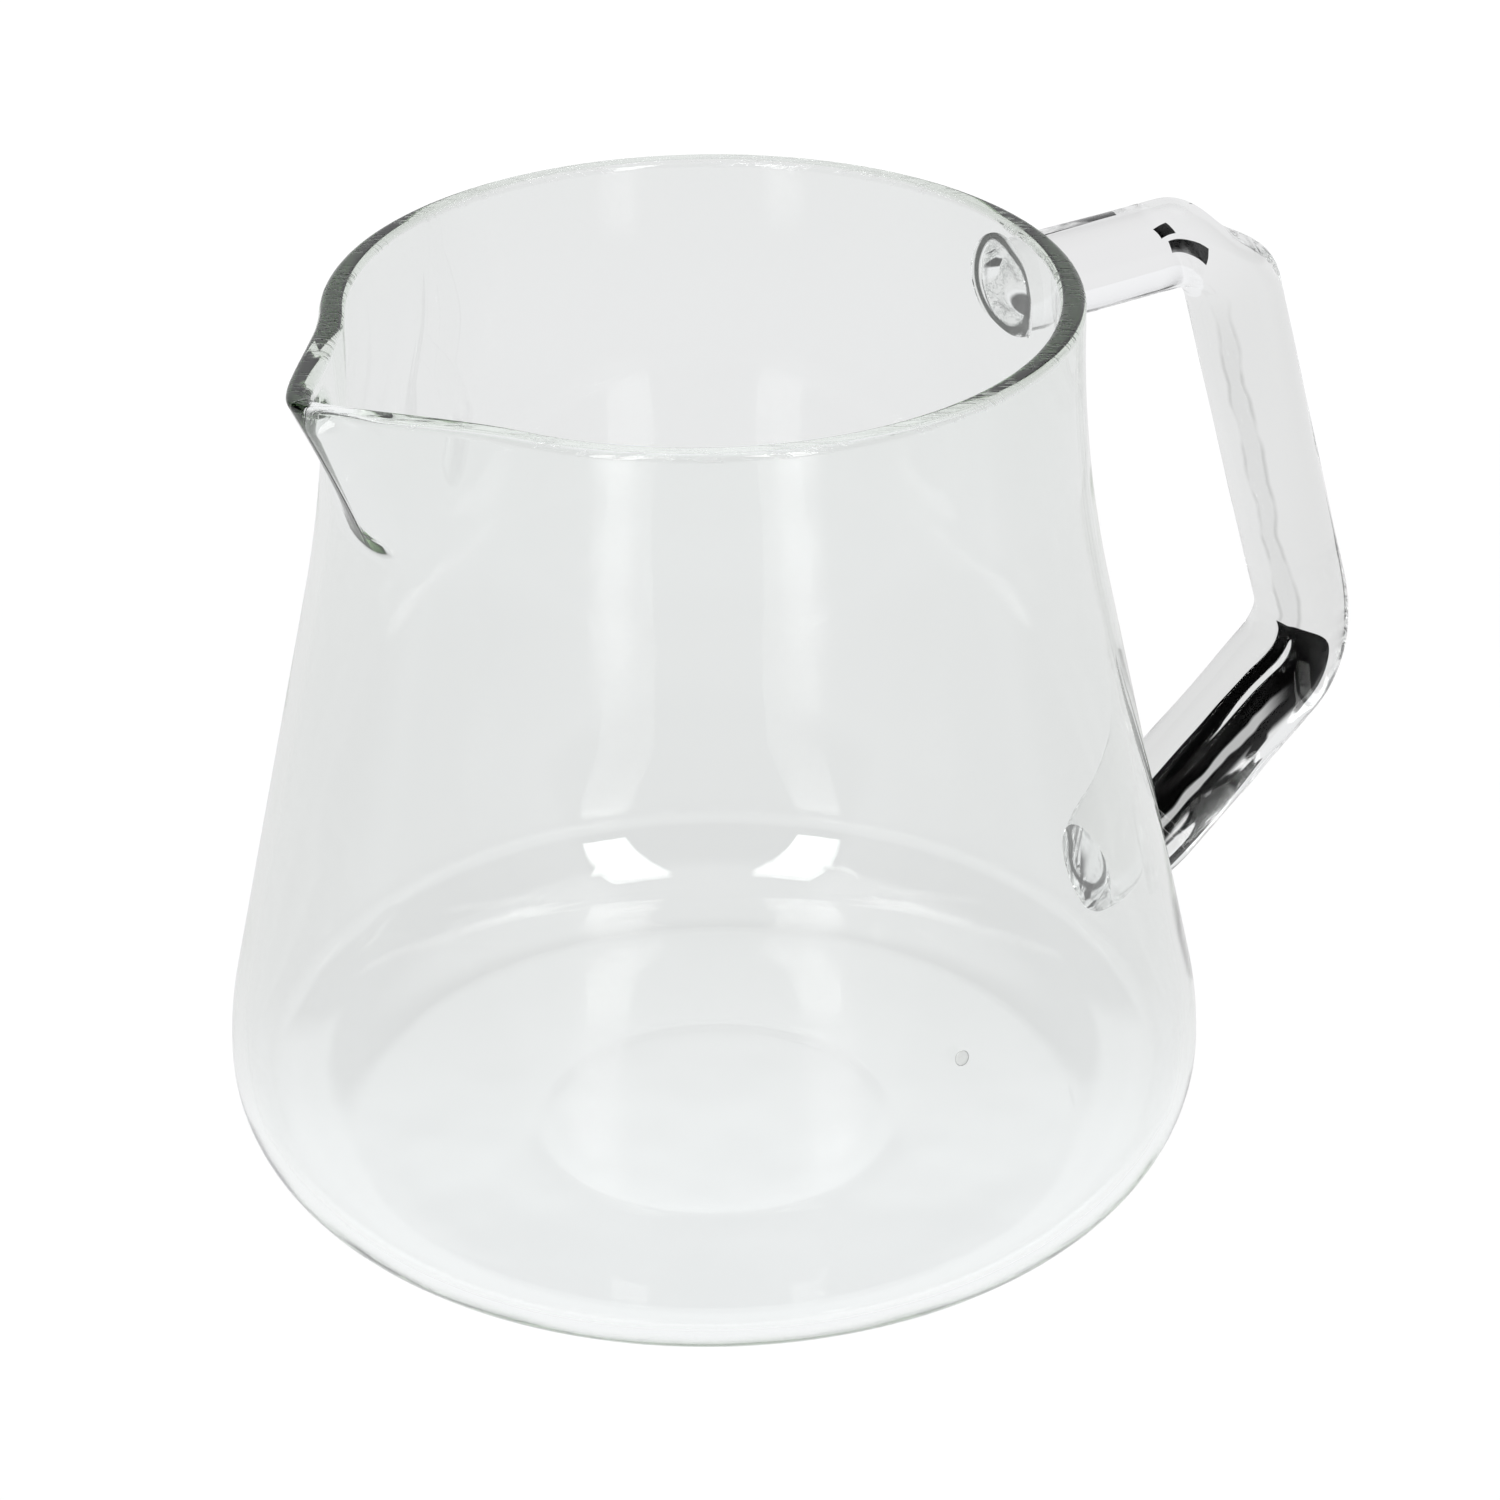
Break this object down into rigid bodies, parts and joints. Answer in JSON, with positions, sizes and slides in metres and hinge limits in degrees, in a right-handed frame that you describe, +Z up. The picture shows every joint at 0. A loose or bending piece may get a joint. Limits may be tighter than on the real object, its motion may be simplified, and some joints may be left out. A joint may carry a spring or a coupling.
{
  "type": "glass carafe",
  "caption": "Clear glass carafe with a tapered body, a pulled pouring spout at the rim and an angular bent-rod glass handle opposite it, for holding and pouring a drink.",
  "frame": {"origin": "middle of the flat base, on the surface that the carafe stands on", "axes": "+Z up along the vessel's axis, +X from the spout towards the handle"},
  "size_m": [0.1443, 0.11, 0.1038],
  "materials": {
    "clear_glass": "polished",
    "grey_enamel": "satin"
  },
  "bodies": {
    "root": {"vessel": "clear_glass", "handle": "clear_glass", "upper_weld": "clear_glass", "lower_weld": "clear_glass", "fill_mark": "grey_enamel"}
  },
  "joints": []
}
